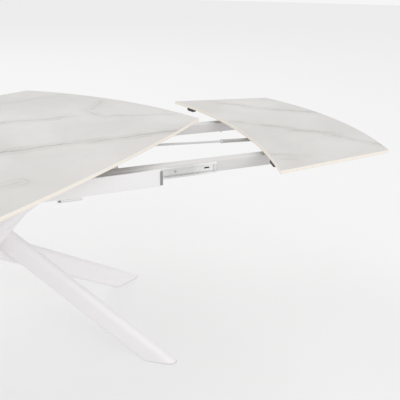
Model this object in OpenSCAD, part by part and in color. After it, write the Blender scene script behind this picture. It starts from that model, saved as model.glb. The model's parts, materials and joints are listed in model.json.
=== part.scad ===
// Extendable dining table with a swivelling top and two sliding leaves.
// Origin: on the floor, on the swivel axis. +X runs along the rails, +Z up. Millimetres.
// Drawn part-way through opening: the top is turned and both leaves are fully drawn out.

/* [Main top] */
// Height of the main top's upper surface above the floor
top_height = 760; // [640:5:920]
// Thickness of the stone slabs
slab_t = 10; // [8:1:12]
// Swivel axis to the chord of the bowed end
top_half_len = 648; // [540:1:780]
// Swivel axis to the chord of the bowed long side
top_half_w = 435; // [365:1:520]
// Rise of the bowed end over its chord
end_bow = 72; // [50:1:90]
// Rise of the bowed long side over its chord
side_bow = 37; // [20:1:45]
// Angle that the top is turned by, as drawn
top_turn = 39.4; // [0:0.1:90]
// Radius of the swivel flange and of the top frame's hub
hub_r = 120; // [100:1:144]

/* [Leaves] */
// Upper surface of a leaf below that of the main top
leaf_drop = 19; // [19:1:24]
// Gap between the main top's end line and a leaf's inner corners, fully drawn out
leaf_gap = 162; // [135:1:195]
// Length of a leaf along its straight sides, measured along the rails
leaf_len = 419; // [350:1:500]
// Half width of a leaf between its outer corners
leaf_tip_half_w = 389; // [325:1:430]
// Rise of a leaf's bowed outer edge
leaf_bow = 74; // [60:1:90]
// Travel of a leaf from fully out to fully under the top
leaf_travel = 591; // [480:1:600]

/* [Moving rails] */
// Width of a moving rail
rail_w = 36; // [30:1:44]
// Height of a moving rail
rail_h = 34; // [30:1:40]
// Wall of the moving rails
rail_wall = 2; // [1.5:0.5:3]
// Swivel axis to the near face of the inner rail lane
lane_in = 151; // [145:1:182]
// Gap between the inner and the outer rail lane
lane_gap = 14; // [10:1:17]
// Height of the beams that carry a leaf on the rails
beam_h = 16.5; // [14.5:0.5:20]
// Width of those beams
beam_w = 40; // [32:1:48]

/* [Fixed frame] */
// Half length of the fixed rails
fixed_half_len = 528; // [440:1:634]
// Half length of the inner pair of fixed rails
inner_half_len = 430; // [400:1:500]
// Height of the fixed rails
fixed_h = 50; // [42:1:60]
// Sheet thickness of the fixed rails
fixed_t = 3; // [2.5:0.5:3.5]
// Centre of the cross members from the swivel axis
cross_x = 270; // [225:1:324]
// Width of the cross members
cross_w = 66; // [55:1:79]
// Height of the cross members, of the base bars and of the centre plate
bar_t = 10; // [8:1:12]
// Radius of the centre post
post_r = 40; // [34:1:48]

/* [Legs] */
// Foot of a leg from the swivel axis, along the rails
foot_x = 514; // [430:1:617]
// Foot of a leg from the swivel axis, across the rails
foot_y = 252; // [210:1:302]
// Upper end of a through leg past the swivel axis, along the rails
head_x = 153; // [140:1:165]
// Upper end of a through leg past the swivel axis, across the rails
head_y = 172; // [160:1:180]
// Upper end of a coped leg past the swivel axis, along the rails
coped_x = 267; // [255:1:280]
// Upper end of a coped leg past the swivel axis, across the rails
coped_y = 90; // [80:1:100]
// Height of the flat-oval leg section
leg_w = 79; // [66:1:95]
// Thickness of the flat-oval leg section
leg_t = 38; // [32:1:46]
// Wall of the leg tube
leg_wall = 2.5; // [2:0.5:4]

/* [Leaf linkage] */
// Radius of the rod pins on the rocker
rocker_r = 300; // [280:1:310]
// Angle of the rocker, as drawn
rocker_rest = -2.4; // [-10:0.1:10]
// Sideways offset of the rod pivot on the leaf carriage
rod_offset = 96; // [80:1:105]
// Diameter of a link rod
rod_d = 7.4; // [5:0.2:7.4]
// Diameter of the thick sleeve at the carriage end of a rod
sleeve_d = 12; // [9:0.5:12]

/* [Hidden] */
$fn = 64;
big_fn = 720;              // facets of the slabs' long arcs
run = 0.4;                 // gap between pieces that slide past each other
fit = 0.3;                 // gap round a bolt or a pin in its hole

// Heights, from the top surface down
z_slab = top_height - slab_t;
z_leaf_top = top_height - leaf_drop;
z_leaf = z_leaf_top - slab_t;
z_beam = z_leaf - beam_h;
shim_t = 1.5;
z_rail_top = z_beam - shim_t;
z_rail = z_rail_top - rail_h;
z_fixed = z_rail_top - fixed_h;
z_cross = z_fixed - bar_t;
plate_t = 6;
z_plate = z_cross - plate_t;
glide_t = 5;

// Lanes across the table
slide_space = 15;                               // rail face to fixed web
in0 = lane_in;                                  // inner lane, near face
in1 = in0 + rail_w;
out0 = in1 + lane_gap;                          // outer lane, near face
out1 = out0 + rail_w;
web_out = out1 + slide_space;                   // outer fixed rail, inside face of its web
web_in = in0 - slide_space;                     // inner fixed rail, outside face of its web
flange_w = 50;
flange_t = 2.5;

// Leaves and carriages
leaf_x = top_half_len + leaf_gap;               // inner corners of the drawn-out leaf
end_r = (top_half_w * top_half_w + end_bow * end_bow) / (2 * end_bow);
side_r = (top_half_len * top_half_len + side_bow * side_bow) / (2 * side_bow);
tip_r = (leaf_tip_half_w * leaf_tip_half_w + leaf_bow * leaf_bow) / (2 * leaf_bow);
beam_x = [leaf_x + 150, leaf_x + 360];          // centres of the two beams
beam_half = top_half_w - 105;
rail_x1 = beam_x[1] + beam_w / 2;               // outer end of the moving rails
rail_lap = 31;                                  // travel beyond the rails' reach inside the leaf
rail_x0 = leaf_x - leaf_travel + rail_lap;      // inner end of the moving rails

// Ball slides: a short member on the moving rail runs on a long track in the fixed rail
member_h = 33;
member_d = 11;
member_t = 1.6;
lip_h = 4;
track_end = 28;                                 // track end from the end of its fixed rail
member_x0 = rail_x0 + 7;
member_x1 = member_x0 + 450;
strip_at = 5;                                   // track strip from the rail's face
strip_t = 3;
strip_h = 18;
ball_r = 2.5;
cage_len = 130;
cage_x0 = member_x0 + 2;
slide_z = z_rail + rail_h / 2;

// Rocker and rods, stacked between the rails and the leaves
z_rod = z_beam + 0.5;                           // underside of the rod eyes
eye_h = 7;
rod_z = z_rod + eye_h / 2;
z_rocker = z_rod + eye_h + 0.8;
rocker_t = 4;
rocker_w = 28;
eye_r = 11;
pin_r = 4;
rod_px = beam_x[0] - beam_w / 2 - 20;
pin_x = rocker_r * cos(rocker_rest);
pin_y = rocker_r * sin(rocker_rest);
rod_dx = pin_x - rod_px;
rod_dy = pin_y + rod_offset;
rod_len = sqrt(rod_dx * rod_dx + rod_dy * rod_dy);
rod_dir = atan2(rod_dy, rod_dx);

// Swivel
frame_t = 6;
z_frame = z_slab - frame_t;
z_flange = z_rocker + rocker_t + 1.2;
flange_plate_t = 4;
z_race = z_flange + flange_plate_t;
race_r = hub_r - 25;
race_w = 30;
race_ball_r = 3.2;
z_ball = (z_race + z_frame) / 2;
shaft_r = 10;

// Legs and the bars they are bolted to
bar_x0 = 70;
bar_x1 = 205;
bar_half_y = 228;
bar_bolt_y = [web_in + flange_w / 2, web_out - flange_w + 11];
through_run = [foot_x + head_x, foot_y + head_y];
coped_run = [foot_x + coped_x, foot_y + coped_y];
beside = leg_t / 2 + 24;                        // a plate bolt from a leg's centre line
bolt_r = 4;
bolt_head_h = 5;
bolt_head_r = 1.7 * bolt_r;
bolt_in = 20;                                   // plate bolts from the near and far edges of a bar
bolt_out = 15;
coped_bolt_out = 17;

// A through leg's plate, from the head of its leg
plate_back = 79;                                // towards the axis
plate_reach = 61;                               // away from it
plate_low = 96;
plate_high = 50;
plate_cut_low = 9;                              // corners taken off the end away from the axis
plate_cut_x = 18;
plate_cut_y = 32;

// A coped leg's plate spans from the bar to past the cross member
coped_lap = 33;
coped_reach = 78;
coped_low = 95;
coped_high = 62;

// Cross member ends, closed by plugs
plug_recess = 14;
plug_in = 12;
plug_short = 9;
sheet = 2;                                      // wall round a plug

// Latch blocks and the caps on the fixed rails' ends
latch_len = 38;
latch_w = 18;
latch_h = 12;
latch_in = 1.5;                                 // block from the leaf's edge
cap_len = 8;
cap_past = 5;                                   // cap beyond the rail's end
cap_side = 1.5;
cap_foot = 3;
cap_top = 4;

WHITE = "#edebec";
STONE = "#e4e3df";
STEEL = "#b9bcbf";
DARK = "#3a3b3d";

// ---------- helpers ----------

module box(x0, x1, y0, y1, z0, z1) translate([x0, y0, z0]) cube([x1 - x0, y1 - y0, z1 - z0]);

module disc(r, z0, z1) translate([0, 0, z0]) cylinder(r = r, h = z1 - z0);

module turned() rotate([0, 0, 180]) children();

// The two long directions of the table, front and back
module both_y() for (s = [-1, 1]) scale_y(s) children();

module scale_y(s) { if (s > 0) children(); else mirror([0, 1, 0]) children(); }

module both_x() { children(); mirror([1, 0, 0]) children(); }

module four_corners() both_x() both_y() children();

// ---------- legs ----------

module flat_oval(w, t) {
    square([w - t, t], center = true);
    for (s = [-1, 1]) translate([s * (w - t) / 2, 0]) circle(d = t);
}

// A leg section from its foot at (sx, sy) through the middle to its head past the axis
module leg_run_solid(sx, sy, run, shrink) {
    over = 120;
    flat = norm(run);
    translate([sx * foot_x, sy * foot_y, 0])
        rotate([0, atan2(flat, z_plate), atan2(-sy * run[1], -sx * run[0])])
            translate([0, 0, -over])
                linear_extrude(norm([flat, z_plate]) + 2 * over)
                    flat_oval(leg_w - 2 * shrink, leg_t - 2 * shrink);
}

module between(z0, z1) intersection() {
    children();
    box(-900, 900, -600, 600, z0, z1);
}

module leg_tube(sx, sy, run) between(glide_t, z_plate) difference() {
    leg_run_solid(sx, sy, run, 0);
    leg_run_solid(sx, sy, run, leg_wall);
}

// The two legs that run through whole
module through_leg(s) color(WHITE) leg_tube(s, -s, through_run);

// The two legs that are coped round them and welded
module coped_leg(s) color(WHITE) difference() {
    leg_tube(s, s, coped_run);
    for (k = [-1, 1]) leg_run_solid(k, -k, through_run, 0);
}

module leg_front_right() through_leg(1);

module leg_back_left() through_leg(-1);

module leg_back_right() coped_leg(1);

module leg_front_left() coped_leg(-1);

module foot_glides() color(DARK) for (s = [-1, 1]) {
    between(0, glide_t) leg_run_solid(s, -s, through_run, 0.8);
    between(0, glide_t) leg_run_solid(s, s, coped_run, 0.8);
}

// Places of a plate's bolts on both sides of a leg, at a distance x from the axis
function bolt_pair(x, head, run) = [for (s = [-1, 1])
    [x, head[1] + (x - head[0]) * run[1] / run[0] + s * beside]];

through_head = [head_x, head_y];
coped_head = [coped_x, coped_y];
through_bolts = concat(bolt_pair(bar_x0 + bolt_in, through_head, through_run),
    [bolt_pair(bar_x1 - bolt_out, through_head, through_run)[0]]);
coped_bolts_bar = bolt_pair(bar_x1 - coped_bolt_out, coped_head, coped_run);
coped_bolts_cross = bolt_pair(cross_x, coped_head, coped_run);
coped_bolts = concat(coped_bolts_bar, coped_bolts_cross);

module at(places) for (p = places) translate([p[0], p[1], 0]) children();

// A through leg ends front right and back left, a coped leg back right and front left
module at_through_heads() for (a = [0, 180]) rotate([0, 0, a]) mirror([0, 1, 0]) children();

module at_coped_heads() for (a = [0, 180]) rotate([0, 0, a]) children();

module leg_top_plates() color(WHITE) {
    at_through_heads() difference() {
        translate([head_x, head_y, z_plate]) linear_extrude(plate_t)
            polygon([[-plate_back, -plate_low], [plate_reach - plate_cut_low, -plate_low],
                [plate_reach, plate_high - plate_cut_y],
                [plate_reach - plate_cut_x, plate_high], [-plate_back, plate_high]]);
        at(through_bolts) disc(bolt_r + fit, z_plate - 1, z_cross + 1);
    }
    at_coped_heads() difference() {
        box(bar_x1 - coped_lap, coped_x + coped_reach, coped_y - coped_low, coped_y + coped_high,
            z_plate, z_cross);
        at(coped_bolts) disc(bolt_r + fit, z_plate - 1, z_cross + 1);
    }
}

module plate_bolt() {
    disc(bolt_r, z_plate, z_fixed - 1);
    translate([0, 0, z_plate - bolt_head_h]) cylinder(r = bolt_head_r, h = bolt_head_h, $fn = 6);
}

module leg_plate_bolts() color(STEEL) {
    at_through_heads() at(through_bolts) plate_bolt();
    at_coped_heads() at(coped_bolts) plate_bolt();
}

// ---------- fixed frame ----------

cross_out = cross_x + cross_w / 2;
cross_in = cross_x - cross_w / 2;
cross_half_y = web_out + fixed_t;
rail_bolt_y = [web_in + flange_w / 2, web_out - flange_w / 2];
rail_screw_r = 3;
bar_x = (bar_x0 + bar_x1) / 2;

module base_bars() color(WHITE) for (a = [0, 180]) rotate([0, 0, a]) difference() {
    box(bar_x0, bar_x1, -bar_half_y, bar_half_y, z_cross, z_fixed);
    mirror([0, 1, 0]) at(through_bolts) disc(bolt_r + fit, z_cross - 1, z_fixed + 1);
    at(coped_bolts_bar) disc(bolt_r + fit, z_cross - 1, z_fixed + 1);
    both_y() for (y = bar_bolt_y) translate([bar_x, y, 0])
        disc(rail_screw_r + fit, z_cross - 1, z_fixed + 1);
}

module cross_member() color(WHITE) difference() {
    box(cross_in, cross_out, -cross_half_y, cross_half_y, z_cross, z_fixed);
    both_y() box(cross_in + sheet, cross_out - sheet,
        cross_half_y - plug_recess, cross_half_y + 1, z_cross + sheet, z_fixed - sheet);
    at(coped_bolts_cross) disc(bolt_r + fit, z_cross - 1, z_fixed + 1);
    both_y() for (y = rail_bolt_y) translate([cross_x, y, 0])
        disc(rail_screw_r + fit, z_cross - 1, z_fixed + 1);
}

module cross_member_right() cross_member();

module cross_member_left() turned() cross_member();

module cross_member_plugs() color(WHITE) four_corners()
    box(cross_in + plug_short, cross_out - sheet - fit,
        cross_half_y - plug_in, cross_half_y, z_cross + sheet + fit, z_fixed - sheet - fit);

// Screws down through the rails' feet
module frame_screws() color(STEEL) four_corners() {
    at([for (y = rail_bolt_y) [cross_x, y]]) rail_screw();
    at([for (y = bar_bolt_y) [bar_x, y]]) rail_screw();
}

module rail_screw() {
    disc(rail_screw_r, z_cross + 1, z_fixed + flange_t);
    disc(2 * rail_screw_r, z_fixed + flange_t, z_fixed + flange_t + 3);
}

module centre_plate() color(WHITE)
    box(-bar_x0, bar_x0, -post_r - 12, post_r + 12, z_cross, z_fixed);

module centre_post() color(WHITE) difference() {
    disc(post_r, z_fixed, z_flange);
    disc(post_r - 4, z_fixed - 1, z_flange + 1);
}

module thrust_collar() color(DARK) difference() {
    disc(post_r + 12, z_rocker - 3.4, z_rocker - 0.4);
    disc(post_r, z_rocker - 4, z_rocker);
}

module swivel_flange() color(WHITE) difference() {
    disc(hub_r, z_flange, z_race);
    disc(shaft_r + run, z_flange - 1, z_race + 1);
}

// A folded channel: its web stands at y0, and its foot turns towards +Y or -Y
module fixed_rail(y0, foot_dir, half_len) color(WHITE) {
    rolled = 2.5;
    foot_y0 = foot_dir > 0 ? y0 + fixed_t : y0 - flange_w;
    roll_y0 = foot_dir > 0 ? y0 + fixed_t : y0 - rolled;
    holes = concat([for (y = rail_bolt_y) [cross_x, y]], [for (y = bar_bolt_y) [bar_x, y]]);
    box(-half_len, half_len, y0, y0 + fixed_t, z_fixed, z_rail_top);
    difference() {
        box(-half_len, half_len, foot_y0, foot_y0 + flange_w, z_fixed, z_fixed + flange_t);
        both_x() at(holes) disc(rail_screw_r + fit, z_fixed - 1, z_fixed + flange_t + 1);
    }
    box(-half_len, half_len, roll_y0, roll_y0 + rolled, z_rail_top - 2, z_rail_top);
}

module outer_rail() fixed_rail(web_out, -1, fixed_half_len);

module inner_rail() fixed_rail(web_in - fixed_t, 1, inner_half_len);

module fixed_rail_back_outer() outer_rail();

module fixed_rail_front_outer() mirror([0, 1, 0]) outer_rail();

module fixed_rail_back_inner() inner_rail();

module fixed_rail_front_inner() mirror([0, 1, 0]) inner_rail();

// A cap wraps the end of each outer rail's web
module rail_end_caps() color(DARK) four_corners() difference() {
    x1 = fixed_half_len + cap_past;
    box(x1 - cap_len, x1, web_out + fit, web_out + fixed_t + cap_side,
        z_fixed + cap_foot, z_rail_top - cap_top);
    box(x1 - cap_len - 1, fixed_half_len, web_out - 1, web_out + fixed_t, z_fixed, z_rail_top);
}

// ---------- ball slides ----------
// Each is drawn for a rail face at y = 0 with the slide standing out along +Y.

// Where the slides stand: the outer lane's slide faces out, the inner lane's faces in
module at_outer_face() translate([0, -out1, 0]) mirror([0, 1, 0]) children();

module at_inner_face() translate([0, in0, 0]) mirror([0, 1, 0]) children();

module slide_places_right() {
    at_outer_face() children();
    at_inner_face() children();
}

module track(half) {
    z0 = slide_z - strip_h / 2;
    box(-half, half, strip_at, strip_at + strip_t, z0, z0 + strip_h);
    box(-half, half, strip_at + strip_t, slide_space, slide_z - 8, slide_z + 8);
}

module slide_tracks() color(STEEL) for (a = [0, 180]) rotate([0, 0, a]) {
    at_outer_face() track(fixed_half_len - track_end);
    at_inner_face() track(inner_half_len - track_end);
}

module screws_along(half) for (x = [30 - half, -200, 200, half - 30])
    translate([x, strip_at - 1.2, slide_z]) rotate([-90, 0, 0]) cylinder(r = 3.5, h = 1.2);

module track_screws() color(STEEL) for (a = [0, 180]) rotate([0, 0, a]) {
    at_outer_face() screws_along(fixed_half_len - track_end);
    at_inner_face() screws_along(inner_half_len - track_end);
}

module member() difference() {
    z0 = slide_z - member_h / 2;
    z1 = slide_z + member_h / 2;
    box(member_x0, member_x1, 0, member_d, z0, z1);
    box(member_x0 - 1, member_x1 + 1, member_t, member_d - member_t,
        z0 + member_t, z1 - member_t);
    box(member_x0 - 1, member_x1 + 1, member_t, member_d + 1, z0 + lip_h, z1 - lip_h);
    for (x = [member_x1 - 30, member_x0 + 40])
        box(x - 8, x + 8, -1, member_t + 1, slide_z - 2.5, slide_z + 2.5);
}

rivet_xs = [member_x0 + 90, member_x0 + 210, member_x1 - 130];

module rivets() for (x = rivet_xs) translate([x, member_t, slide_z]) rotate([-90, 0, 0])
    cylinder(r = 3.6, h = 1);

module cage() for (s = [-1, 1]) {
    zc = slide_z + s * (strip_h / 2 + (member_h / 2 - member_t - strip_h / 2) / 2);
    yc = strip_at + strip_t / 2;
    box(cage_x0, cage_x0 + cage_len, yc - 0.6, yc + 0.6, zc - 1.6, zc + 1.6);
    for (i = [0 : 5]) translate([cage_x0 + 10 + i * 22, yc, zc]) sphere(r = ball_r, $fn = 32);
}

// ---------- leaf carriages (drawn for the right-hand leaf) ----------

module leaf() color(STONE) translate([0, 0, z_leaf]) difference() {
    slope = (top_half_w - leaf_tip_half_w) / leaf_len;
    reach = leaf_len + leaf_bow + 10;
    tip = top_half_w - slope * reach;
    intersection() {
        linear_extrude(slab_t) polygon([[leaf_x, -top_half_w], [leaf_x + reach, -tip],
            [leaf_x + reach, tip], [leaf_x, top_half_w]]);
        translate([leaf_x + leaf_len + leaf_bow - tip_r, 0, -1])
            cylinder(r = tip_r, h = slab_t + 2, $fn = big_fn);
    }
    translate([leaf_x + end_bow - end_r, 0, -1]) cylinder(r = end_r, h = slab_t + 2, $fn = big_fn);
}

// A rectangular tube
module rail(y0) color(WHITE) difference() {
    box(rail_x0, rail_x1, y0, y0 + rail_w, z_rail, z_rail_top);
    box(rail_x0 - 1, rail_x1 + 1, y0 + rail_wall, y0 + rail_w - rail_wall,
        z_rail + rail_wall, z_rail_top - rail_wall);
}

module rail_outer() rail(-out1);

module rail_inner() rail(in0);

module beams() color(WHITE) for (x = beam_x) difference() {
    box(x - beam_w / 2, x + beam_w / 2, -beam_half, beam_half, z_beam, z_leaf);
    both_y() box(x - beam_w / 2 + 2, x + beam_w / 2 - 2, beam_half - 30, beam_half + 1,
        z_beam + 2, z_leaf - 2);
}

module shims() color(DARK) for (x = beam_x, y = [-out1, in0])
    box(x - beam_w / 2 + 1, x + beam_w / 2 - 1, y + 1, y + rail_w - 1, z_rail_top, z_beam);

module rod_bracket() color(WHITE) difference() {
    union() {
        translate([rod_px, -rod_offset, 0]) disc(12, z_beam - 4, z_beam);
        box(rod_px, beam_x[0] + beam_w / 2, -rod_offset - 12, -rod_offset + 12,
            z_beam - 4, z_beam);
    }
    translate([rod_px, -rod_offset, 0]) disc(pin_r, z_beam - 5, z_beam + 1);
}

module rod_pin() color(STEEL) translate([rod_px, -rod_offset, 0]) {
    disc(pin_r, z_beam - 4, z_rod + eye_h + run);
    disc(8, z_rod + eye_h + run, z_rod + eye_h + run + 2);
}

module along_rod() translate([rod_px, -rod_offset, 0]) rotate([0, 0, rod_dir]) children();

sleeve_at = eye_r + 6;
sleeve_len = 104;

module lying(d, x0, x1) translate([x0, 0, rod_z]) rotate([0, 90, 0]) cylinder(d = d, h = x1 - x0);

module link_rod() color(WHITE) along_rod() {
    for (x = [0, rod_len]) translate([x, 0, 0]) difference() {
        disc(eye_r, z_rod, z_rod + eye_h);
        disc(pin_r + run, z_rod - 1, z_rod + eye_h + 1);
    }
    difference() {
        lying(rod_d, 0, rod_len);
        for (x = [0, rod_len]) translate([x, 0, 0]) disc(eye_r - 1, z_rod - 1, z_rod + eye_h + 1);
    }
}

module rod_sleeve() color(DARK) along_rod() difference() {
    lying(sleeve_d, sleeve_at, sleeve_at + sleeve_len);
    lying(rod_d, sleeve_at - 1, sleeve_at + sleeve_len + 1);
}

// Black blocks under the leaf's inner edge that find the main top's end
module latch_blocks() color(DARK) both_y() {
    y = 0.77 * top_half_w;
    x = leaf_x + end_bow - end_r + sqrt(end_r * end_r - y * y);
    translate([x, y, 0]) rotate([0, 0, asin(y / end_r)])
        box(latch_in, latch_in + latch_w, -latch_len / 2, latch_len / 2, z_leaf - latch_h, z_leaf);
}

module rail_plugs() color(DARK) for (y0 = [-out1, in0]) for (x = [rail_x0, rail_x1 - 12])
    box(x, x + 12, y0 + rail_wall + fit, y0 + rail_w - rail_wall - fit,
        z_rail + rail_wall + fit, z_rail_top - rail_wall - fit);

module slide_members() color(STEEL) slide_places_right() member();

module slide_rivets() color(STEEL) slide_places_right() rivets();

module ball_cages() color(STEEL) slide_places_right() cage();

module right_leaf() leaf();

module right_rail_outer() rail_outer();

module right_rail_inner() rail_inner();

module right_beams() beams();

module right_shims() shims();

module right_rod_bracket() rod_bracket();

module right_rod_pin() rod_pin();

module right_slide_members() slide_members();

module right_slide_rivets() slide_rivets();

module right_latch_blocks() latch_blocks();

module right_rail_plugs() rail_plugs();

module right_link_rod() link_rod();

module right_rod_sleeve() rod_sleeve();

module right_ball_cages() ball_cages();

module left_leaf() turned() leaf();

module left_rail_outer() turned() rail_outer();

module left_rail_inner() turned() rail_inner();

module left_beams() turned() beams();

module left_shims() turned() shims();

module left_rod_bracket() turned() rod_bracket();

module left_rod_pin() turned() rod_pin();

module left_slide_members() turned() slide_members();

module left_slide_rivets() turned() slide_rivets();

module left_latch_blocks() turned() latch_blocks();

module left_rail_plugs() turned() rail_plugs();

module left_link_rod() turned() link_rod();

module left_rod_sleeve() turned() rod_sleeve();

module left_ball_cages() turned() ball_cages();

// ---------- rocker ----------

module sync_rocker() color(STEEL) rotate([0, 0, rocker_rest]) difference() {
    union() {
        disc(post_r + 18, z_rocker, z_rocker + rocker_t);
        box(-rocker_r, rocker_r, -rocker_w / 2, rocker_w / 2, z_rocker, z_rocker + rocker_t);
        for (s = [-1, 1]) translate([s * rocker_r, 0, 0])
            disc(rocker_w / 2, z_rocker, z_rocker + rocker_t);
    }
    disc(post_r + run, z_rocker - 1, z_rocker + rocker_t + 1);
    for (s = [-1, 1]) translate([s * rocker_r, 0, 0])
        disc(pin_r, z_rocker - 1, z_rocker + rocker_t + 1);
}

// The rivets stop just above the rod eyes
module rocker_rivets() color(STEEL) rotate([0, 0, rocker_rest])
    for (s = [-1, 1]) translate([s * rocker_r, 0, 0]) {
        disc(pin_r, z_rocker - 0.4, z_rocker + rocker_t);
        disc(8, z_rocker + rocker_t, z_rocker + rocker_t + 1.6);
    }

// ---------- swivel and main top ----------

module as_turned() rotate([0, 0, top_turn]) children();

module race_groove() translate([0, 0, z_ball])
    rotate_extrude($fn = 96) translate([race_r, 0]) circle(r = race_ball_r + run, $fn = 32);

module race_ring(z0, z1) color(STEEL) difference() {
    disc(race_r + race_w / 2, z0, z1);
    disc(race_r - race_w / 2, z0 - 1, z1 + 1);
    race_groove();
}

module lower_race() race_ring(z_race, z_ball - 0.5);

module upper_race() race_ring(z_ball + 0.5, z_frame);

module bearing_balls() color(STEEL) for (i = [0 : 23]) rotate([0, 0, i * 15])
    translate([race_r, 0, z_ball]) sphere(r = race_ball_r, $fn = 32);

module pivot_shaft() color(STEEL) disc(shaft_r, z_flange - 14, z_frame);

module pivot_nut() color(STEEL) difference() {
    translate([0, 0, z_flange - 11]) cylinder(r = 19, h = 10.4, $fn = 6);
    disc(shaft_r, z_flange - 12, z_flange);
}

arm_w = 50;
frame_x = top_half_len - 120;
frame_y = top_half_w - 115;

// Flat steel frame bonded under the stone: a hub, two cross arms and two long bars
module top_frame() color(WHITE) as_turned() {
    disc(hub_r, z_frame, z_slab);
    for (s = [-1, 1]) {
        y0 = s > 0 ? frame_y - arm_w : -frame_y;
        box(-frame_x, frame_x, y0, y0 + arm_w, z_frame, z_slab);
        box(s * 0.55 * frame_x - arm_w / 2, s * 0.55 * frame_x + arm_w / 2,
            -frame_y + 1, frame_y - 1, z_frame, z_slab);
    }
    box(-0.55 * frame_x, 0.55 * frame_x, -arm_w / 2, arm_w / 2, z_frame, z_slab);
}

module main_top() color(STONE) as_turned() translate([0, 0, z_slab]) intersection_for_slab();

// Four large discs whose overlap is the bowed outline
module intersection_for_slab() intersection() {
    translate([top_half_len + end_bow - end_r, 0, 0]) cylinder(r = end_r, h = slab_t, $fn = big_fn);
    translate([end_r - top_half_len - end_bow, 0, 0]) cylinder(r = end_r, h = slab_t, $fn = big_fn);
    translate([0, top_half_w + side_bow - side_r, 0]) cylinder(r = side_r, h = slab_t, $fn = big_fn);
    translate([0, side_r - top_half_w - side_bow, 0]) cylinder(r = side_r, h = slab_t, $fn = big_fn);
}

// ---------- assembly ----------

leg_front_right();
leg_back_right();
leg_front_left();
leg_back_left();
foot_glides();
leg_top_plates();
leg_plate_bolts();
base_bars();
cross_member_right();
cross_member_left();
cross_member_plugs();
frame_screws();
centre_plate();
centre_post();
thrust_collar();
swivel_flange();
fixed_rail_front_outer();
fixed_rail_back_outer();
fixed_rail_front_inner();
fixed_rail_back_inner();
rail_end_caps();
slide_tracks();
track_screws();
lower_race();
bearing_balls();
main_top();
top_frame();
upper_race();
pivot_shaft();
pivot_nut();
sync_rocker();
rocker_rivets();
right_leaf();
right_rail_outer();
right_rail_inner();
right_beams();
right_shims();
right_rod_bracket();
right_rod_pin();
right_slide_members();
right_slide_rivets();
right_latch_blocks();
right_rail_plugs();
right_link_rod();
right_rod_sleeve();
right_ball_cages();
left_leaf();
left_rail_outer();
left_rail_inner();
left_beams();
left_shims();
left_rod_bracket();
left_rod_pin();
left_slide_members();
left_slide_rivets();
left_latch_blocks();
left_rail_plugs();
left_link_rod();
left_rod_sleeve();
left_ball_cages();
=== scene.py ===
import bpy
import json
import math
from mathutils import Matrix, Vector


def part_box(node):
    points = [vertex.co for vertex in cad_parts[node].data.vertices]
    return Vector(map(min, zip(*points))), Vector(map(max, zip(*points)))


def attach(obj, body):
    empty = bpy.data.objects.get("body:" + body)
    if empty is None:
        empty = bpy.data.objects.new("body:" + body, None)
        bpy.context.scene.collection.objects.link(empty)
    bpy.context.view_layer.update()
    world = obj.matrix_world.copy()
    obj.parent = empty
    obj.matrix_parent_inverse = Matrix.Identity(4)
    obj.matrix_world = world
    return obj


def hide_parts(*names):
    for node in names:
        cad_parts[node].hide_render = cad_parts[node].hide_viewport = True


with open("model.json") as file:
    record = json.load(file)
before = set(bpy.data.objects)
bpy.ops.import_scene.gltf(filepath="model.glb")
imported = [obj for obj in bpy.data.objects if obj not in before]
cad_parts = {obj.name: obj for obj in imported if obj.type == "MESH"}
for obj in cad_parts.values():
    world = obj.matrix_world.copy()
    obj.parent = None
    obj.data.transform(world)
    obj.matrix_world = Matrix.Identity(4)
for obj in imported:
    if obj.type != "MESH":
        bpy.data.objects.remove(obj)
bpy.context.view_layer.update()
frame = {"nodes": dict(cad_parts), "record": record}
nodes = frame["nodes"]
record = frame["record"]
body_of = {n: b for b, names in record["behaviour"]["bodies"].items() for n in names}
slot_of = {s["node"]: s["material_slot"] for s in record["subparts"]}

MM = 0.001
TOP_TURN = math.radians(39.4)     # how far the main top is turned, as drawn


# ---------- camera, floor and light ----------

def set_camera():
    spot = Vector((0.1716, -1.4024, 1.1814))
    heading, dip, lean = 0.3953, 0.4377, -0.0237
    ahead = Vector((math.sin(heading) * math.cos(dip), math.cos(heading) * math.cos(dip), -math.sin(dip)))
    side = Vector((math.cos(heading), -math.sin(heading), 0.0))
    above = side.cross(ahead)
    right = side * math.cos(lean) - above * math.sin(lean)
    up = side * math.sin(lean) + above * math.cos(lean)
    data = bpy.data.cameras.new("camera")
    data.lens = 40.47
    data.sensor_width = 36.0
    data.clip_end = 200.0
    camera = bpy.data.objects.new("camera", data)
    bpy.context.scene.collection.objects.link(camera)
    turn = Matrix((right, up, -ahead)).transposed().to_4x4()
    camera.matrix_world = Matrix.Translation(spot) @ turn
    bpy.context.scene.camera = camera


def softbox(name, spot, target, width, height, power):
    data = bpy.data.lights.new(name, "AREA")
    data.shape = "RECTANGLE"
    data.size, data.size_y = width, height
    data.energy = power
    light = bpy.data.objects.new(name, data)
    light.location = spot
    light.rotation_euler = (Vector(target) - Vector(spot)).to_track_quat("-Z", "Y").to_euler()
    bpy.context.scene.collection.objects.link(light)


def set_studio():
    world = bpy.data.worlds.new("studio")
    world.use_nodes = True
    world.node_tree.nodes["Background"].inputs["Color"].default_value = (1.0, 1.0, 1.0, 1.0)
    world.node_tree.nodes["Background"].inputs["Strength"].default_value = 0.92
    bpy.context.scene.world = world
    bpy.context.scene.view_settings.view_transform = "Standard"
    softbox("overhead_box", (-3.0, 5.0, 8.5), (0.3, 0.0, 0.6), 6.0, 5.0, 190.0)
    softbox("front_box", (3.4, -8.0, 5.0), (0.4, 0.0, 0.4), 5.0, 4.0, 150.0)
    clear_selection()
    bpy.ops.mesh.primitive_circle_add(vertices=96, radius=60.0, fill_type="NGON", location=(0, 0, 0))
    floor = bpy.context.object
    floor.name = "studio_floor"
    floor.data.materials.append(floor_paint())


# ---------- selecting and finishing ----------

def clear_selection():
    bpy.ops.object.select_all(action="DESELECT")


def pick(piece):
    clear_selection()
    piece.select_set(True)
    bpy.context.view_layer.objects.active = piece


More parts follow.
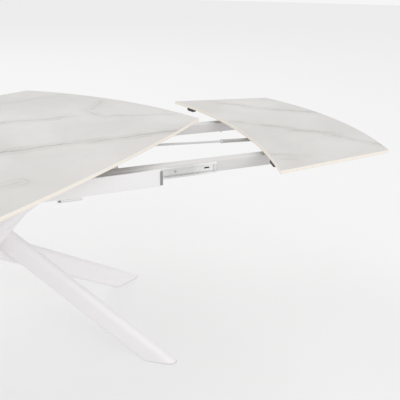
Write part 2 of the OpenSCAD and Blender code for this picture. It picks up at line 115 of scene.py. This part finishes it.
def settle(piece):
    """Moves a piece's place, turn and scale into its mesh."""
    pick(piece)
    bpy.ops.object.transform_apply(location=True, rotation=True, scale=True)


def apply_all(piece):
    pick(piece)
    for modifier in list(piece.modifiers):
        bpy.ops.object.modifier_apply(modifier=modifier.name)


def join(name, pieces):
    clear_selection()
    for piece in pieces:
        piece.select_set(True)
    bpy.context.view_layer.objects.active = pieces[0]
    if len(pieces) > 1:
        bpy.ops.object.join()
    joined = bpy.context.object
    joined.name = joined.data.name = name
    settle(joined)
    return joined


def smooth(piece, degrees=32.0):
    pick(piece)
    bpy.ops.object.shade_smooth_by_angle(angle=math.radians(degrees))


def paint(piece, *materials):
    piece.data.materials.clear()
    for material in materials:
        piece.data.materials.append(material)


def hand_over(piece, body, slot, *stands_for):
    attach(piece, body)
    if stands_for:
        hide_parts(*stands_for)


def bevel(piece, width, segments=3, degrees=30.0):
    modifier = piece.modifiers.new("edge", "BEVEL")
    modifier.width = width
    modifier.segments = segments
    modifier.limit_method = "ANGLE"
    modifier.angle_limit = math.radians(degrees)
    modifier.harden_normals = False
    apply_all(piece)


def merged_copy(node, name):
    """A copy of a CAD node with its triangles joined up and its flat faces made whole."""
    pick(nodes[node])
    bpy.ops.object.duplicate()
    copy = bpy.context.object
    copy.name = copy.data.name = name
    pick(copy)
    bpy.ops.object.mode_set(mode="EDIT")
    bpy.ops.mesh.select_all(action="SELECT")
    bpy.ops.mesh.remove_doubles(threshold=0.00002)
    bpy.ops.mesh.dissolve_limited(angle_limit=math.radians(0.6))
    bpy.ops.object.mode_set(mode="OBJECT")
    return copy


def eased(node, name, width, material):
    """The CAD node with its sharp edges rounded, as folded, cut or moulded edges are."""
    piece = merged_copy(node, name)
    bevel(piece, width)
    smooth(piece)
    paint(piece, material)
    hand_over(piece, body_of[node], slot_of[node], node)
    return piece


# ---------- node groups shared by the materials ----------

def group(name, inputs, outputs):
    tree = bpy.data.node_groups.new(name, "ShaderNodeTree")
    for title, kind in inputs:
        tree.interface.new_socket(title, in_out="INPUT", socket_type="NodeSocket" + kind)
    for title, kind in outputs:
        tree.interface.new_socket(title, in_out="OUTPUT", socket_type="NodeSocket" + kind)
    return tree, tree.nodes.new("NodeGroupInput"), tree.nodes.new("NodeGroupOutput")


def add(tree, kind, **settings):
    node = tree.nodes.new("ShaderNode" + kind)
    for key, value in settings.items():
        setattr(node, key, value)
    return node


def vector_math(tree, operation, first, second=None):
    node = add(tree, "VectorMath", operation=operation)
    for socket, value in zip(node.inputs, (first, second)):
        wire(tree, value, socket)
    return node.outputs["Value"] if operation in ("DOT_PRODUCT", "LENGTH") else node.outputs["Vector"]


def plain_math(tree, operation, first, second=None, third=None, clamp=False):
    node = add(tree, "Math", operation=operation, use_clamp=clamp)
    for socket, value in zip(node.inputs, (first, second, third)):
        wire(tree, value, socket)
    return node.outputs[0]


def wire(tree, value, socket):
    if value is None:
        return
    if isinstance(value, bpy.types.NodeSocket):
        tree.links.new(value, socket)
    else:
        socket.default_value = value


def noise(tree, coords, scale, detail=3.0, roughness=0.5):
    node = add(tree, "TexNoise")
    wire(tree, coords, node.inputs["Vector"])
    wire(tree, scale, node.inputs["Scale"])
    node.inputs["Detail"].default_value = detail
    node.inputs["Roughness"].default_value = roughness
    return node


def object_coords(tree):
    return add(tree, "TexCoord").outputs["Object"]


def remap(tree, value, low, high, new_low=0.0, new_high=1.0, smoothstep=False):
    node = add(tree, "MapRange", interpolation_type="SMOOTHSTEP" if smoothstep else "LINEAR")
    for title, item in (("Value", value), ("From Min", low), ("From Max", high),
                        ("To Min", new_low), ("To Max", new_high)):
        wire(tree, item, node.inputs[title])
    return node.outputs["Result"]


def make_relief_group():
    """Fine unevenness of a surface, as a normal."""
    tree, given, out = group("surface_relief", [("Scale", "Float"), ("Height", "Float")],
                             [("Normal", "Vector")])
    grain = noise(tree, object_coords(tree), given.outputs["Scale"], 2.0)
    bump = add(tree, "Bump")
    bump.inputs["Strength"].default_value = 1.0
    tree.links.new(given.outputs["Height"], bump.inputs["Distance"])
    tree.links.new(grain.outputs["Fac"], bump.inputs["Height"])
    tree.links.new(bump.outputs["Normal"], out.inputs["Normal"])
    return tree


def make_drift_group():
    """A slow change of tone across a piece, and a value that follows it."""
    tree, given, out = group("tone_drift", [("Colour", "Color"), ("Scale", "Float"), ("Amount", "Float")],
                             [("Colour", "Color"), ("Mask", "Float")])
    cloud = noise(tree, object_coords(tree), given.outputs["Scale"], 4.0, 0.6)
    mask = remap(tree, cloud.outputs["Fac"], 0.3, 0.7)
    low = plain_math(tree, "SUBTRACT", 1.0, given.outputs["Amount"])
    factor = remap(tree, mask, 0.0, 1.0, low, 1.0)
    tinted = vector_math(tree, "MULTIPLY", given.outputs["Colour"], factor)
    tree.links.new(tinted, out.inputs["Colour"])
    tree.links.new(mask, out.inputs["Mask"])
    return tree


def make_vein_group():
    """One wandering vein between two points of a slab, as a mask."""
    tree, given, out = group(
        "stone_vein",
        [("Start", "Vector"), ("End", "Vector"), ("Width", "Float"), ("Wander", "Float"),
         ("Strength", "Float")],
        [("Mask", "Float")])
    flat = vector_math(tree, "MULTIPLY", object_coords(tree), (1.0, 1.0, 0.0))
    sway = noise(tree, flat, 7.0, 6.0, 0.6)
    centred = vector_math(tree, "SUBTRACT", sway.outputs["Color"], (0.5, 0.5, 0.5))
    swing = add(tree, "VectorMath", operation="SCALE")
    tree.links.new(centred, swing.inputs[0])
    tree.links.new(given.outputs["Wander"], swing.inputs["Scale"])
    moved = vector_math(tree, "ADD", flat, vector_math(tree, "MULTIPLY", swing.outputs[0], (1.0, 1.0, 0.0)))
    along = vector_math(tree, "SUBTRACT", given.outputs["End"], given.outputs["Start"])
    offset = vector_math(tree, "SUBTRACT", moved, given.outputs["Start"])
    share = plain_math(tree, "DIVIDE", vector_math(tree, "DOT_PRODUCT", offset, along),
                       vector_math(tree, "DOT_PRODUCT", along, along), clamp=True)
    step = add(tree, "VectorMath", operation="SCALE")
    tree.links.new(along, step.inputs[0])
    tree.links.new(share, step.inputs["Scale"])
    distance = vector_math(tree, "LENGTH", vector_math(tree, "SUBTRACT", offset, step.outputs[0]))
    width = given.outputs["Width"]
    core = remap(tree, distance, 0.0, width, 1.0, 0.0, smoothstep=True)
    halo = remap(tree, distance, 0.0, plain_math(tree, "MULTIPLY", width, 6.0), 0.26, 0.0, smoothstep=True)
    aside = plain_math(tree, "ABSOLUTE", plain_math(tree, "SUBTRACT", distance,
                                                    plain_math(tree, "MULTIPLY", width, 3.0)))
    twin = remap(tree, aside, 0.0, width, 0.5, 0.0, smoothstep=True)
    thread = remap(tree, noise(tree, flat, 8.0, 2.0).outputs["Fac"], 0.48, 0.58)
    breaks = remap(tree, noise(tree, flat, 11.0, 3.0).outputs["Fac"], 0.35, 0.6, 0.45, 1.0)
    lines = plain_math(tree, "MAXIMUM", core, plain_math(tree, "MULTIPLY", twin, thread))
    body = plain_math(tree, "MULTIPLY", plain_math(tree, "MAXIMUM", lines, halo), breaks)
    tree.links.new(plain_math(tree, "MULTIPLY", body, given.outputs["Strength"]), out.inputs["Mask"])
    return tree


RELIEF = make_relief_group()
DRIFT = make_drift_group()
VEIN = make_vein_group()


# ---------- materials ----------

def material(name, roughness=None, metallic=None, **shader_values):
    made = bpy.data.materials.new(name)
    made.use_nodes = True
    tree = made.node_tree
    shader = tree.nodes["Principled BSDF"]
    if roughness is not None:
        shader.inputs["Roughness"].default_value = roughness
    if metallic is not None:
        shader.inputs["Metallic"].default_value = metallic
    for title, value in shader_values.items():
        shader.inputs[title.replace("_", " ")].default_value = value
    return made, tree, shader


def use_group(tree, which, **values):
    node = add(tree, "Group", node_tree=which)
    for title, value in values.items():
        wire(tree, value, node.inputs[title])
    return node


def relief(tree, shader, scale, height):
    node = use_group(tree, RELIEF, Scale=scale, Height=height)
    tree.links.new(node.outputs["Normal"], shader.inputs["Normal"])


def vary_roughness(tree, shader, mask, low, high):
    tree.links.new(remap(tree, mask, 0.0, 1.0, low, high), shader.inputs["Roughness"])


def floor_paint():
    """Pale floor with a little light of its own, which keeps the shadows faint."""
    made, _, shader = material("studio_floor", roughness=0.9, Specular_IOR_Level=0.0)
    shader.inputs["Base Color"].default_value = (0.40, 0.40, 0.40, 1.0)
    shader.inputs["Emission Color"].default_value = (1.0, 1.0, 1.0, 1.0)
    shader.inputs["Emission Strength"].default_value = 0.475
    return made


def powder_coat(name, colour):
    made, tree, shader = material(name)
    tone = use_group(tree, DRIFT, Colour=colour, Scale=2.2, Amount=0.03)
    tree.links.new(tone.outputs["Colour"], shader.inputs["Base Color"])
    vary_roughness(tree, shader, tone.outputs["Mask"], 0.44, 0.54)
    relief(tree, shader, 900.0, 0.00006)
    return made


def zinc(name, colour, low=0.3, high=0.46, streak=(3.0, 90.0, 260.0)):
    """Rolled and plated steel: fine streaks along its length and faint spangle."""
    made, tree, shader = material(name, metallic=0.85)
    stretched = vector_math(tree, "MULTIPLY", object_coords(tree), streak)
    lines = noise(tree, stretched, 4.0, 3.0, 0.6)
    spangle = add(tree, "TexVoronoi")
    tree.links.new(object_coords(tree), spangle.inputs["Vector"])
    spangle.inputs["Scale"].default_value = 160.0
    both = plain_math(tree, "MULTIPLY_ADD", spangle.outputs["Distance"], 0.25, lines.outputs["Fac"])
    bands = noise(tree, vector_math(tree, "MULTIPLY", object_coords(tree), (1.0, 0.2, 0.2)), 9.0, 1.0)
    mask = remap(tree, both, 0.35, 0.9)
    sheen = plain_math(tree, "MULTIPLY_ADD", remap(tree, bands.outputs["Fac"], 0.35, 0.65), 0.30,
                       plain_math(tree, "MULTIPLY", mask, 0.14))
    shade = remap(tree, sheen, 0.0, 0.44, 0.66, 1.1)
    tree.links.new(vector_math(tree, "MULTIPLY", colour, shade), shader.inputs["Base Color"])
    vary_roughness(tree, shader, mask, low, high)
    relief(tree, shader, 420.0, 0.00004)
    return made


def plastic(name, colour):
    made, tree, shader = material(name)
    tone = use_group(tree, DRIFT, Colour=colour, Scale=14.0, Amount=0.12)
    tree.links.new(tone.outputs["Colour"], shader.inputs["Base Color"])
    vary_roughness(tree, shader, tone.outputs["Mask"], 0.42, 0.58)
    relief(tree, shader, 1600.0, 0.00008)
    return made


STONE_LIGHT = (0.64, 0.63, 0.61, 1.0)
STONE_DARK = (0.575, 0.565, 0.545, 1.0)
VEIN_GREY = (0.27, 0.25, 0.22, 1.0)


def mix(tree, factor, first, second):
    node = add(tree, "Mix", data_type="RGBA")
    wire(tree, factor, node.inputs["Factor"])
    wire(tree, first, node.inputs[6])
    wire(tree, second, node.inputs[7])
    return node.outputs[2]


def vein_ends(node, along, across, heading, length):
    """A vein's two ends, from its place beside the slab's middle, its heading in degrees and its length."""
    low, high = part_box(node)
    x = (low[0] + high[0]) / 2 + along
    y = (low[1] + high[1]) / 2 + across
    turn = math.radians(heading)
    return (x, y, 0.0), (x + length * math.cos(turn), y + length * math.sin(turn), 0.0)


def stone_face(node, veins):
    """Satin sintered stone: cloudy ground and wandering veins."""
    made, tree, shader = material(node + "_stone")
    coords = object_coords(tree)
    warped = noise(tree, coords, 1.7, 4.0, 0.55)
    shift = vector_math(tree, "MULTIPLY", warped.outputs["Color"], (0.5, 0.5, 0.5))
    cloud = noise(tree, vector_math(tree, "ADD", coords, shift), 3.2, 6.0, 0.58)
    ground = mix(tree, remap(tree, cloud.outputs["Fac"], 0.36, 0.62), STONE_LIGHT, STONE_DARK)
    total = 0.0
    for along, across, heading, length, strength in veins:
        start, end = vein_ends(node, along, across, heading, length)
        drawn = use_group(tree, VEIN, Start=start, End=end, Width=VEIN_WIDTH, Wander=VEIN_WANDER,
                          Strength=strength)
        total = plain_math(tree, "MAXIMUM", total, drawn.outputs["Mask"])
    tree.links.new(mix(tree, total, ground, VEIN_GREY), shader.inputs["Base Color"])
    fine = noise(tree, coords, 60.0, 3.0)
    vary_roughness(tree, shader, fine.outputs["Fac"], 0.30, 0.42)
    relief(tree, shader, 350.0, 0.00005)
    return made


def stone_edge(name):
    """The slab's ground edge: cream, with fine pale and dark specks."""
    made, tree, shader = material(name)
    specks = add(tree, "TexVoronoi")
    tree.links.new(object_coords(tree), specks.inputs["Vector"])
    specks.inputs["Scale"].default_value = 420.0
    cream = mix(tree, remap(tree, specks.outputs["Distance"], 0.1, 0.7), (0.80, 0.73, 0.65, 1.0),
                (0.88, 0.825, 0.75, 1.0))
    tree.links.new(cream, shader.inputs["Base Color"])
    vary_roughness(tree, shader, specks.outputs["Distance"], 0.42, 0.6)
    relief(tree, shader, 700.0, 0.00006)
    return made


def slab_underside(name):
    """The mesh-backed, sealed underside."""
    made, tree, shader = material(name)
    checker = add(tree, "TexBrick")
    tree.links.new(object_coords(tree), checker.inputs["Vector"])
    for title, value in (("Scale", 120.0), ("Mortar Size", 0.06), ("Brick Width", 0.5), ("Row Height", 0.5)):
        checker.inputs[title].default_value = value
    for title, value in (("Color1", (0.60, 0.58, 0.54, 1.0)), ("Color2", (0.56, 0.545, 0.51, 1.0)),
                         ("Mortar", (0.66, 0.65, 0.62, 1.0))):
        checker.inputs[title].default_value = value
    tree.links.new(checker.outputs["Color"], shader.inputs["Base Color"])
    drift = noise(tree, object_coords(tree), 5.0)
    vary_roughness(tree, shader, drift.outputs["Fac"], 0.6, 0.8)
    relief(tree, shader, 500.0, 0.0001)
    return made


VEIN_WIDTH = 7 * MM
VEIN_WANDER = 0.07
# Each vein: its start beside the slab's middle (m), its heading (degrees), its length (m) and its strength
MAIN_VEINS = [
    (-0.50, -0.15, 5, 1.20, 0.75), (-0.55, 0.20, 2, 0.90, 0.75),
    (0.50, 0.45, -115, 0.15, 0.5), (0.40, 0.30, -60, 0.10, 0.5), (0.45, 0.20, -10, 0.25, 0.5),
    (-0.55, -0.35, 20, 0.55, 0.6), (-0.30, -0.55, 25, 0.50, 0.5), (0.00, 0.45, 25, 0.45, 0.4),
    (-0.35, 0.00, 10, 0.45, 0.3),
]
LEAF_VEINS = [
    (-0.10, 0.40, -50, 0.20, 0.7), (0.00, 0.25, -35, 0.30, 0.75),
    (-0.15, 0.05, -40, 0.20, 0.7), (0.00, -0.10, -35, 0.15, 0.75), (0.10, -0.20, -60, 0.20, 0.6),
    (-0.20, -0.30, -30, 0.10, 0.4), (-0.20, -0.35, -35, 0.05, 0.4),
]
OTHER_LEAF_VEINS = [
    (0.10, -0.40, 130, 0.30, 0.7), (-0.05, -0.15, 140, 0.25, 0.6), (0.15, 0.05, 150, 0.25, 0.7),
    (-0.05, 0.20, 130, 0.20, 0.5), (0.15, 0.30, 145, 0.10, 0.4),
]

STONE = {
    "main_top": stone_face("main_top", MAIN_VEINS),
    "right_leaf": stone_face("right_leaf", LEAF_VEINS),
    "left_leaf": stone_face("left_leaf", OTHER_LEAF_VEINS),
}
EDGE = stone_edge("slab_edge")
UNDERSIDE = slab_underside("slab_underside")
LEG_COAT = powder_coat("leg_powder_coat", (0.88, 0.86, 0.868, 1.0))
FRAME_COAT = powder_coat("frame_powder_coat", (0.84, 0.828, 0.83, 1.0))
# White powder coat darkened to grey: painted shade from the leaf above, on every piece with the white_rails
# slot
SHADED_RAIL_COAT = powder_coat("rail_coat_painted_shade", (0.66, 0.65, 0.645, 1.0))
ROD_COAT = powder_coat("rod_coat", (0.60, 0.60, 0.605, 1.0))
ZINC = zinc("plated_steel", (0.95, 0.95, 0.945))
BRIGHT = zinc("bright_steel", (0.60, 0.60, 0.61), 0.22, 0.34, (60.0, 60.0, 60.0))
BLACK = plastic("black_plastic", (0.04, 0.04, 0.043, 1.0))
GREY = plastic("grey_plastic", (0.29, 0.285, 0.29, 1.0))
SLEEVE_GREY = plastic("sleeve_grey", (0.44, 0.43, 0.42, 1.0))
PALE = plastic("pale_plastic", (0.74, 0.73, 0.735, 1.0))
FINISH = {
    "white_legs": LEG_COAT, "white_frame": FRAME_COAT, "white_rails": SHADED_RAIL_COAT, "zinc_steel": ZINC,
    "bright_steel": BRIGHT, "black_plastic": BLACK, "grey_plastic": GREY,
    "rod_coat": ROD_COAT, "pale_plastic": PALE,
}


# ---------- slabs ----------

def slab(node):
    """A stone slab with its arrises taken off, cream round the edge and backed underneath."""
    piece = merged_copy(node, node + "_slab")
    bevel(piece, 1.1 * MM, 3, 40.0)
    paint(piece, STONE[node], EDGE, UNDERSIDE)
    for face in piece.data.polygons:
        face.material_index = 0 if face.normal.z > 0.9 else 2 if face.normal.z < -0.9 else 1
    smooth(piece, 25.0)
    hand_over(piece, body_of[node], slot_of[node], node)


# ---------- small hardware ----------

def socket_screw(name, x, y, z, radius, height):
    """A pan-head screw with a round socket, its head hanging below z."""
    clear_selection()
    bpy.ops.mesh.primitive_cylinder_add(vertices=28, radius=radius, depth=height,
                                        location=(x, y, z - height / 2))
    head = bpy.context.object
    settle(head)
    bpy.ops.object.mode_set(mode="EDIT")
    bpy.ops.mesh.select_mode(type="FACE")
    bpy.ops.mesh.select_all(action="DESELECT")
    bpy.ops.object.mode_set(mode="OBJECT")
    for face in head.data.polygons:
        face.select = face.normal.z < -0.9
    bpy.ops.object.mode_set(mode="EDIT")
    bpy.ops.mesh.inset(thickness=radius * 0.48)
    bpy.ops.mesh.extrude_region_move(TRANSFORM_OT_translate={"value": (0, 0, height * 0.55)})
    bpy.ops.object.mode_set(mode="OBJECT")
    bevel(head, radius * 0.16, 2, 50.0)
    head.name = head.data.name = name
    smooth(head, 40.0)
    return head


def screws(name, places, radius, height, body):
    made = [socket_screw(name + "_one", x, y, z, radius, height) for x, y, z in places]
    piece = join(name, made)
    paint(piece, BRIGHT)
    hand_over(piece, body, "bright_steel")


# ---------- weld beads ----------

def bead_from_edges(node, name, radius, wanted):
    """A round bead along the sharp edges of a CAD node that are wanted, told from their two ends."""
    seam = merged_copy(node, name)
    mesh = seam.data
    pick(seam)
    bpy.ops.object.mode_set(mode="EDIT")
    bpy.ops.mesh.select_mode(type="EDGE")
    bpy.ops.mesh.select_all(action="DESELECT")
    bpy.ops.mesh.edges_select_sharp(sharpness=math.radians(30.0))
    bpy.ops.object.mode_set(mode="OBJECT")
    for edge in mesh.edges:
        if edge.select and not wanted([mesh.vertices[i].co for i in edge.vertices]):
            edge.select = False
    bpy.ops.object.mode_set(mode="EDIT")
    bpy.ops.mesh.select_all(action="INVERT")
    bpy.ops.mesh.delete(type="EDGE")
    bpy.ops.object.mode_set(mode="OBJECT")
    bpy.ops.object.convert(target="CURVE")
    curve = bpy.context.object
    curve.data.bevel_depth = radius
    curve.data.bevel_resolution = 2
    curve.data.use_fill_caps = True
    bpy.ops.object.convert(target="MESH")
    bead = bpy.context.object
    bead.name = bead.data.name = name
    smooth(bead, 60.0)
    paint(bead, LEG_COAT)
    hand_over(bead, body_of[node], slot_of[node])


def weld_at_crossing(node, name, radius):
    """A bead along each seam where a coped leg meets the legs that run through."""
    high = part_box(node)[1][2] - 20 * MM
    bead_from_edges(node, name, radius, lambda ends: 20 * MM < min(p.z for p in ends)
                    and max(p.z for p in ends) < high)


def weld_at_plate(node, name, radius):
    """A bead round the top of a leg, where it stands against its plate."""
    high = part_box(node)[1][2]
    bead_from_edges(node, name, radius, lambda ends: min(p.z for p in ends) > high - 0.5 * MM)


# ---------- rods and slides ----------

def half_turn(point, hand):
    """The same place on the other carriage, which is half a turn round the swivel axis."""
    x, y, z = point
    return (x, y, z) if hand == "right" else (-x, -y, z)


EYE_WIDTH = 22 * MM           # across the eye at each end of a rod
SLEEVE_HALF = 52 * MM
NUT_RADIUS = 7.4 * MM
NUT_LENGTH = 5 * MM


def lock_nut(hand):
    """The hex nut that locks the thick sleeve on its rod."""
    low, high = (Vector(c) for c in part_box(hand + "_rod_sleeve"))
    rod_low, rod_high = (Vector(c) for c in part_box(hand + "_link_rod"))
    towards_rocker = Vector((rod_low.x - rod_high.x + EYE_WIDTH, rod_high.y - rod_low.y - EYE_WIDTH, 0.0))
    if hand == "left":
        towards_rocker.negate()
    towards_rocker.normalize()
    spot = (low + high) / 2 + towards_rocker * (SLEEVE_HALF + 0.64 * NUT_LENGTH)
    clear_selection()
    bpy.ops.mesh.primitive_cylinder_add(
        vertices=6, radius=NUT_RADIUS, depth=NUT_LENGTH, location=spot,
        rotation=(0.0, math.pi / 2, math.atan2(towards_rocker.y, towards_rocker.x)))
    nut = bpy.context.object
    settle(nut)
    bevel(nut, 0.9 * MM, 2, 20.0)
    smooth(nut, 30.0)
    nut.name = nut.data.name = hand + "_lock_nut"
    paint(nut, BRIGHT)
    hand_over(nut, hand + "_rod", "bright_steel")


SLIDE_DEPTH = 11 * MM


def on_slide_webs(hand, name, from_end, above_web, size, easing, material, slot):
    """One small block on the web of each of a carriage's two slides, measured from the slide's outer end."""
    low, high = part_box(hand + "_slide_members")
    way = 1.0 if hand == "right" else -1.0
    end = high[0] if hand == "right" else low[0]
    outer = low[1] if hand == "right" else high[1]
    inner = high[1] if hand == "right" else low[1]
    middle = (low[2] + high[2]) / 2
    blocks = []
    for y in (outer + way * (SLIDE_DEPTH - above_web), inner - way * above_web):
        clear_selection()
        bpy.ops.mesh.primitive_cube_add(size=1.0, location=(end - way * from_end, y, middle))
        block = bpy.context.object
        block.scale = size
        settle(block)
        bevel(block, easing, 2)
        blocks.append(block)
    piece = join(hand + name, blocks)
    smooth(piece)
    paint(piece, material)
    hand_over(piece, hand + "_carriage", slot)


def slide_bumpers(hand):
    """The thin stop plate at the outer end of each slide."""
    on_slide_webs(hand, "_slide_bumpers", 4.6 * MM, 2.4 * MM, (8 * MM, 1.5 * MM, 27 * MM), 0.5 * MM,
                  PALE, "grey_plastic")


def slot_painted_shade(hand):
    """A black block set in the slot of each slide: painted shade standing for the dark inside of the slot."""
    on_slide_webs(hand, "_slot_painted_shade", 30 * MM, 0.8 * MM, (15.4 * MM, 1.4 * MM, 4.4 * MM), 0.4 * MM,
                  BLACK, "black_plastic")


def carriage_screws(hand):
    """Screws up through the beams into the leaf, and the stop screw under the inner rail."""
    beams_low, beams_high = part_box("right_beams")
    beam_middle = 20 * MM
    rows = (beams_low[0] + beam_middle, beams_high[0] - beam_middle)
    across = (-0.27, -0.045, 0.045, 0.27)
    places = [half_turn((x, y, beams_low[2]), hand) for x in rows for y in across]
    screws(hand + "_beam_screws", places, 5 * MM, 2.2 * MM, hand + "_carriage")
    rail_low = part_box("right_rail_inner")[0]
    stop = (rail_low[0] + 0.655, rail_low[1] + 8 * MM, rail_low[2])
    screws(hand + "_travel_stop", [half_turn(stop, hand)], 4 * MM, 4.5 * MM, hand + "_carriage")


def frame_fixings():
    """Screws up through the top's frame into the slab's inserts."""
    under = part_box("top_frame")[0][2]
    side, ahead = math.cos(TOP_TURN), math.sin(TOP_TURN)
    places = [(along * side - across * ahead, along * ahead + across * side, under)
              for along in (-0.48, -0.16, 0.16, 0.48) for across in (-0.295, 0.295)]
    screws("top_frame_screws", places, 6 * MM, 1.6 * MM, "top")


# ---------- the table ----------

set_camera()
set_studio()

for node in ("main_top", "right_leaf", "left_leaf"):
    slab(node)

# How far the sharp edges of each node are eased (mm)
EASED = {
    "leg_top_plates": 0.8, "base_bars": 0.8, "cross_member_right": 1.0, "cross_member_left": 1.0,
    "cross_member_plugs": 0.8, "centre_plate": 1.0, "swivel_flange": 0.8, "top_frame": 0.8,
    "fixed_rail_front_outer": 0.9, "fixed_rail_back_outer": 0.9, "fixed_rail_front_inner": 0.9,
    "fixed_rail_back_inner": 0.9, "rail_end_caps": 0.7, "slide_tracks": 0.5, "sync_rocker": 0.7,
    "pivot_nut": 0.8, "leg_plate_bolts": 0.5, "frame_screws": 0.5, "rocker_rivets": 0.5, "thrust_collar": 0.5,
    "foot_glides": 0.8,
}
CARRIAGE_EASED = {
    "rail_outer": 0.9, "rail_inner": 0.9, "beams": 1.0, "shims": 0.3, "rod_bracket": 0.7, "rod_pin": 0.5,
    "slide_members": 0.5, "slide_rivets": 0.4, "latch_blocks": 1.6, "rail_plugs": 1.0, "link_rod": 0.5,
    "rod_sleeve": 0.8,
}
for hand in ("right", "left"):
    for ending, width in CARRIAGE_EASED.items():
        EASED[hand + "_" + ending] = width

for node, width in EASED.items():
    sleeve = node.endswith("_rod_sleeve")
    eased(node, node + "_eased", width * MM, SLEEVE_GREY if sleeve else FINISH[slot_of[node]])

for node in ("leg_back_right", "leg_front_left"):
    weld_at_crossing(node, node + "_seam_weld", 2.2 * MM)
for node in ("leg_front_right", "leg_back_right", "leg_front_left", "leg_back_left"):
    weld_at_plate(node, node + "_plate_weld", 2.5 * MM)
for hand in ("right", "left"):
    lock_nut(hand)
    slide_bumpers(hand)
    slot_painted_shade(hand)
    carriage_screws(hand)
frame_fixings()

replaced = {"main_top", "right_leaf", "left_leaf", *EASED}
for node, obj in nodes.items():
    if node not in replaced:
        for place in obj.material_slots:
            place.material = FINISH[slot_of[node]]
